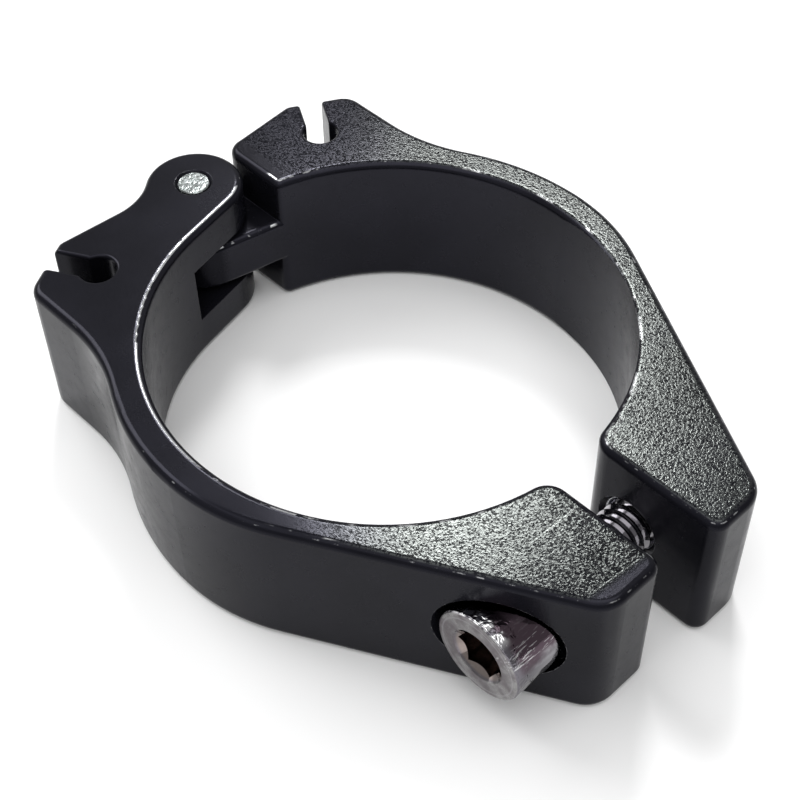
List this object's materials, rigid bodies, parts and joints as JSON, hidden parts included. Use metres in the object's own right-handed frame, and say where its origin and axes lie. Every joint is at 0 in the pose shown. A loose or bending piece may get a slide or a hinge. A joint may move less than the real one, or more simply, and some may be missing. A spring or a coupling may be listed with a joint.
{
  "type": "seatpost clamp",
  "caption": "Hinged black clamp collar for a bicycle seat tube: a clevis jaw and a tongue jaw on a pin, keyhole cable slots by the hinge, tapered lugs closed by a socket head bolt.",
  "frame": {"origin": "on the bore axis at half the clamp's height", "axes": "+Z along the bore axis, up; +X towards the bolt and the open lugs, so the hinge pin is on the -X side; the bolt's head is on the -Y side"},
  "size_m": [0.0645, 0.0484, 0.0144],
  "materials": {
    "black_coated_aluminium": "satin black coat, fine wrinkled grain on the level faces, smooth edges",
    "bare_steel": "bright, scratched pin end",
    "bright_plated_steel": "bright nickel plating, scuffed"
  },
  "bodies": {
    "bolt_side": {"bolt_side_jaw": "black_coated_aluminium", "hinge_pin": "bare_steel"},
    "thread_side": {"thread_side_jaw": "black_coated_aluminium"},
    "bolt": {"clamp_bolt": "bright_plated_steel"}
  },
  "joints": [
    {"name": "jaw_hinge", "type": "hinge", "parent": "bolt_side", "child": "thread_side", "pos_m": [-0.0262, 0, 0], "axis": [0, 0, 1], "range_deg": [-2.5, 130]},
    {"name": "bolt_travel", "type": "slide", "parent": "bolt_side", "child": "bolt", "axis": [0, -1, 0], "range_m": [-0.0011, 0.012]}
  ]
}
